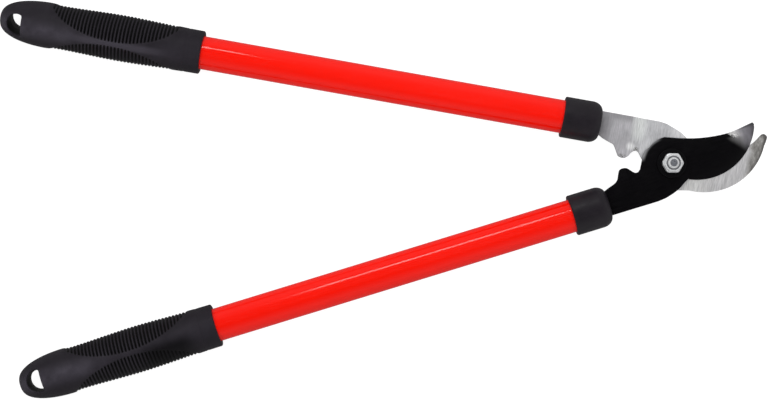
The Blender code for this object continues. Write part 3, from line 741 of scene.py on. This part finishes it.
def nicked(finish, body):
    """Dark nicks on the hook's lug and beside its notch."""
    nicks = finish.math("MAXIMUM", finish.between(finish.distance((-0.0450, -0.0025)), 0.0048, 0.0015),
                        finish.between(finish.distance((-0.0330, 0.0065)), 0.0038, 0.0010))
    flecks = finish.between(finish.noise(900, 3, 0.7), 0.44, 0.56)
    return finish.over(body, (0.09, 0.088, 0.075), finish.product(nicks, flecks))


def scaled_tip(finish, body, blotches):
    """Brown scale on the hook's tip, and a dark band along the tip's outer and top edges: painted shade on
    the outer edge's bevel, and darker along the top edge.
    """
    along, across = finish.x, finish.y
    scales = finish.noise(170, 5, 0.7, stretch=(1.6, 0.6, 1))
    scaled = finish.ramp(scales, [(0.30, (0.105, 0.101, 0.094)), (0.50, (0.245, 0.237, 0.226)),
                                  (0.70, (0.480, 0.470, 0.455))])
    tip = finish.between(finish.wandering(along, blotches, 0.010), 0.0650, 0.0720)
    body = finish.over(body, scaled, tip)
    # Painted shade along the bevelled outer edge of the tip; the top edge is only made darker
    edge = finish.product(finish.between(finish.distance(JAW_OUTER_CENTRE), 0.0522, 0.0550),
                          finish.between(across, 0.002, 0.014))
    edge = finish.math("MAXIMUM", edge, finish.between(across, 0.0370, 0.0405))
    edge = finish.product(edge, finish.between(along, 0.040, 0.055), 0.85)
    return finish.over(body, (0.070, 0.066, 0.062), edge)


def ground_steel():
    """Hook plate: ground steel with marks across it, paler in the jaw and browner at its tip."""
    finish = Finish("ground_steel", lever_matrix("hook"))
    marks = finish.noise(260, 4, 0.6, stretch=(6, 0.35, 1))
    blotches = finish.noise(60, 5, 0.65)
    body = plate_tones(finish, tang_tones(finish, blotches), blotches)
    body = finish.over(body, jaw_tones(finish), finish.between(finish.x, 0.000, 0.020))
    body = finish.over(body, (0.22, 0.22, 0.23), finish.graded(marks, 0.0, 0.50, 0.35, 0.65))
    body = scaled_tip(finish, nicked(finish, body), blotches)
    finish.put(Metallic=0.35, Base_Color=body, Roughness=finish.graded(marks, 0.38, 0.50))
    finish.bump(marks, 0.00002)
    return finish.material


def coat_with_edge_highlight(finish, drag):
    """Coating of the blade, with a painted grey highlight on its rounded edge in an arc round the pivot."""
    coat = finish.graded(drag, (0.0014, 0.0012, 0.0016), (0.0028, 0.0025, 0.0032))
    # Painted highlight on the blade's rounded edge
    edge_highlight = finish.product(finish.between(finish.distance((-0.0025, 0.0010)), 0.0204, 0.0238),
                          finish.between(finish.y, 0.008, 0.014),
                          finish.between(finish.x, -0.001, -0.009), 0.75)
    return finish.over(coat, (0.30, 0.30, 0.31), edge_highlight)


def tip_steel(finish, crumbs):
    """Bare steel that darkens to the tip, with a dark back, grinding marks and bright crumbs."""
    steel = finish.ramp(finish.product(finish.x, 10.0),
                        [(0.57, (0.62, 0.61, 0.61)), (0.63, (0.50, 0.49, 0.50)),
                         (0.70, (0.30, 0.29, 0.32)), (0.77, (0.17, 0.16, 0.18)),
                         (0.81, (0.07, 0.07, 0.08))])
    back = finish.product(finish.between(finish.y, 0.0100, 0.0130),
                          finish.between(finish.x, 0.062, 0.070), 0.8)
    steel = finish.over(steel, (0.045, 0.043, 0.048), back)
    grind = finish.graded(finish.noise(260, 4, 0.6, stretch=(1, 0.25, 1)), 0.0, 0.35, 0.4, 0.7)
    steel = finish.over(steel, (0.09, 0.09, 0.09), grind)
    return finish.over(steel, (0.90, 0.90, 0.88), crumbs)


def black_coating():
    """Cutting blade: black low-stick coating, with a painted grey highlight on its rounded edge round the
    pivot, and bare at the tip.
    """
    finish = Finish("black_coating", lever_matrix("blade"))
    drag = finish.noise(300, 4, 0.6, stretch=(0.3, 4, 1))
    ragged = finish.noise(700, 4, 0.7)
    tipwards = finish.math("ADD", finish.product(finish.x, TIPWARDS[0]),
                           finish.product(finish.y, TIPWARDS[1]))
    # The coating is chipped off along the back of the tip and fades out elsewhere
    back = finish.between(finish.y, 0.0035, 0.0085)
    chipped = finish.between(finish.wandering(tipwards, ragged, 0.006), 0.0490, 0.0512)
    faded = finish.between(tipwards, 0.0438, 0.0598)
    bare = finish.math("ADD", finish.product(chipped, back),
                       finish.product(faded, finish.math("SUBTRACT", 1.0, back)))
    crumbs = finish.product(finish.between(ragged, 0.50, 0.58), finish.between(tipwards, 0.0560, 0.0515),
                            back)
    finish.put(Specular_IOR_Level=0.12, Metallic=finish.product(bare, 0.35),
               Base_Color=finish.over(coat_with_edge_highlight(finish, drag), tip_steel(finish, crumbs), bare),
               Roughness=finish.graded(drag, 0.34, 0.44))
    finish.bump(drag, 0.00001)
    return finish.material


def bolt_zinc():
    """Zinc plated bolt, its flat end painted darker than its chamfer as a painted dark reflection."""
    finish, skin = textured("zinc_bolt", METAL, (0.74, 0.75, 0.76), (0.88, 0.89, 0.90), (0.24, 0.34),
                            Metallic=0.5)
    # Painted dark reflection on the bolt's flat end
    face = finish.product(finish.between(finish.distance((0, 0)), BOLT_POINT_RADIUS + 0.0001,
                                         BOLT_POINT_RADIUS - 0.0002),
                          finish.between(finish.z, BOLT_END - 0.0010, BOLT_END - 0.0002))
    bare = finish.graded(finish.noise(900, 4, 0.6), (0.14, 0.15, 0.17), (0.30, 0.31, 0.34))
    finish.put(Base_Color=finish.over(skin, bare, face))
    return finish.material


def nut_zinc():
    """Zinc plated nut, with a painted dark reflection on its chamfered corners."""
    finish, skin = textured("zinc_nut", METAL, (0.71, 0.72, 0.73), (0.86, 0.87, 0.88), (0.26, 0.34),
                            Metallic=0.45)
    # Painted dark reflection on the nut's chamfered corners
    corner = finish.between(finish.distance((0, 0)), *NUT_DARK_REFLECTION_RADII)
    finish.put(Base_Color=finish.over(skin, (0.10, 0.10, 0.11), corner))
    return finish.material


# Pieces

def plate(node, look, lever, slot):
    """A CAD plate with its doubles merged and its sharp edges eased."""
    bm = bmesh.new()
    bm.from_mesh(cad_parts[node].data)
    bmesh.ops.remove_doubles(bm, verts=bm.verts, dist=PLATE_MERGE_DISTANCE)
    bmesh.ops.dissolve_limit(bm, angle_limit=math.radians(PLATE_FLAT_ANGLE), verts=bm.verts, edges=bm.edges,
                             delimit={"NORMAL"})
    hard = [edge for edge in bm.edges
            if len(edge.link_faces) == 2 and edge.calc_face_angle(0) > math.radians(PLATE_EASED_ANGLE)]
    ease(bm, hard, segments=2)
    add_piece(node + "_dressed", bm, Matrix.Identity(4), look, lever, node, PLATE_SHARP_ANGLE)


def handle_pieces(side, grip):
    """Grip, collar and tube of one handle."""
    add_piece(side + "_ribbed_grip", grip, grip_matrix(side), grip_rubber(side), side, side + "_grip",
              GRIP_SHARP_ANGLE)
    start = LEVERS[side]["start"]
    place = handle_matrix(side) @ Matrix.Translation((0, 0, start))
    add_piece(side + "_rubber_collar", collar_mesh(side), place,
              collar_rubber(side + "_collar_rubber", place), side, side + "_collar")
    mouth = start + COLLAR_FRONT_WALL + GAP
    end = HANDLE_REACH - GRIP_BORE_END - GAP
    wall = [(TUBE_BORE_RADIUS, mouth), (TUBE_RADIUS, mouth), (TUBE_RADIUS, end), (TUBE_BORE_RADIUS, end)]
    add_piece(side + "_painted_tube", spun(wall, closed=True), handle_matrix(side), red_paint(side),
              side, side + "_tube")


def head_pieces():
    """The two plates, and the bolt with its nut and lock ring."""
    plate("hook_blade", ground_steel(), "hook", "ground_steel")
    plate("cutting_blade", black_coating(), "blade", "black_coating")
    # The bolt starts at its head's face, turned with the hook, and the nut at its seat
    turned = lever_matrix("hook") @ Matrix.Translation((0, 0, -TUBE_PLANE))
    seat = Matrix.Translation((0, 0, NUT_BOTTOM))
    nylon = plain("grey_nylon", PLASTIC, (0.170, 0.175, 0.190), 0.42)
    add_piece("chamfered_bolt", bolt_mesh(), turned, bolt_zinc(), "hook", "pivot_bolt")
    add_piece("crowned_nut", nut_mesh(), seat, nut_zinc(), "hook", "pivot_nut")
    add_piece("rounded_lock_ring", lock_ring_mesh(), seat, nylon, "hook", "nut_lock_ring")


def finish_cad_nodes():
    """Finishes on the nodes that show their CAD mesh."""
    zinc = plain("zinc", METAL, (0.86, 0.87, 0.88), 0.26, Metallic=0.45)
    insert = plain("grey_plastic", PLASTIC, (0.10, 0.10, 0.11), 0.5)
    looks = {"head_washer": zinc,
             "nut_washer": plain("black_steel", METAL, (0.0030, 0.0028, 0.0034), 0.36,
                                 Specular_IOR_Level=0.15),
             "pivot_bush": plain("turned_brass", METAL, (0.72, 0.52, 0.22), 0.30, Metallic=1.0)}
    for side in LEVERS:
        looks[side + "_tang_insert"] = insert
        looks[side + "_tang_pin_front"] = zinc
        looks[side + "_tang_pin_rear"] = zinc
    for name, look in looks.items():
        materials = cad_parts[name].data.materials
        materials.clear()
        materials.append(look)


def dress():
    """Makes every visible piece."""
    grip = grip_mesh()
    for side in LEVERS:
        handle_pieces(side, grip.copy())
    grip.free()
    head_pieces()
    finish_cad_nodes()


# Studio

# Each light's name, place, size, power and whether it shows in glossy surfaces
LIGHTS = [("strip_light", (-0.674, 1.60, 2.058), (0.647, 0.30), 6.0, True),
          ("overhead_light", (-0.25, 0.25, 1.60), (2.4, 1.6), 30.0, False)]

# Grey of the sky from straight down (0) over the horizon (0.5) to straight up (1)
DOME = [(0.0, 0.20), (0.30, 0.30), (0.50, 0.45), (0.72, 0.50), (0.90, 0.20), (0.98, 0.02)]

FLOOR_HALF_SIDE = 12
FLOOR_DROP = 0.0002
PICTURE_WIDTH = 768
FOCAL_PIXELS = 1872.7
SENSOR_WIDTH = 36.0
CAMERA_PLACE = (-0.2558, -0.0619, 1.7)
CAMERA_TURN = (0.9815, 0.0872, 0.0247)
CAMERA_REACH = 50


def lay_floor():
    """Bright pale floor just under the tool, which doesn't show in glossy surfaces."""
    bm = bmesh.new()
    bmesh.ops.create_grid(bm, x_segments=1, y_segments=1, size=FLOOR_HALF_SIDE)
    bmesh.ops.translate(bm, vec=(0, 0, cad_bounds[0].z - FLOOR_DROP), verts=bm.verts)
    floor = placed("studio_floor", bm)
    paint = Finish("floor_paint")
    paint.put(Base_Color=paint.graded(paint.noise(3), 0.24, 0.26), Roughness=0.9,
              Emission_Color=(1.0, 1.0, 1.0), Emission_Strength=0.90)
    floor.data.materials.append(paint.material)
    floor.visible_glossy = False


def raise_dome():
    """Sky that darkens towards its top."""
    world = bpy.data.worlds.new("dome")
    bpy.context.scene.world = world
    world.use_nodes = True
    tree = world.node_tree
    background = tree.nodes["Background"]
    background.inputs["Strength"].default_value = 1.0
    coordinates = tree.nodes.new("ShaderNodeTexCoord")
    split = tree.nodes.new("ShaderNodeSeparateXYZ")
    # A direction's Z runs from -1 to 1 and the ramp from 0 to 1
    height = tree.nodes.new("ShaderNodeMapRange")
    height.inputs["From Min"].default_value = -1.0
    ramp = tree.nodes.new("ShaderNodeValToRGB")
    set_stops(ramp, DOME)
    for source, target in ((coordinates.outputs["Generated"], split.inputs["Vector"]),
                           (split.outputs["Z"], height.inputs["Value"]),
                           (height.outputs["Result"], ramp.inputs["Fac"]),
                           (ramp.outputs["Color"], background.inputs["Color"])):
        tree.links.new(source, target)


def hang_lights():
    """Area lights, each turned to the line under it along the X axis."""
    for name, place, size, power, mirrored in LIGHTS:
        light = bpy.data.lights.new(name, "AREA")
        light.shape = "RECTANGLE"
        light.size, light.size_y = size
        light.energy = power
        lamp = bpy.data.objects.new(name, light)
        bpy.context.scene.collection.objects.link(lamp)
        lamp.location = place
        aim = Vector((lamp.location.x, 0.0, 0.0))
        lamp.rotation_euler = (aim - lamp.location).to_track_quat("-Z", "Y").to_euler()
        lamp.visible_glossy = mirrored


def set_camera():
    """Camera nearly straight above, as fitted to the photograph."""
    camera = bpy.data.cameras.new("camera")
    camera.sensor_width = SENSOR_WIDTH
    camera.lens = SENSOR_WIDTH * FOCAL_PIXELS / PICTURE_WIDTH
    camera.clip_end = CAMERA_REACH
    eye = bpy.data.objects.new("camera", camera)
    bpy.context.scene.collection.objects.link(eye)
    eye.location = CAMERA_PLACE
    eye.rotation_euler = [math.radians(angle) for angle in CAMERA_TURN]
    bpy.context.scene.camera = eye
    bpy.context.scene.view_settings.view_transform = "Standard"


dress()
lay_floor()
raise_dome()
hang_lights()
set_camera()
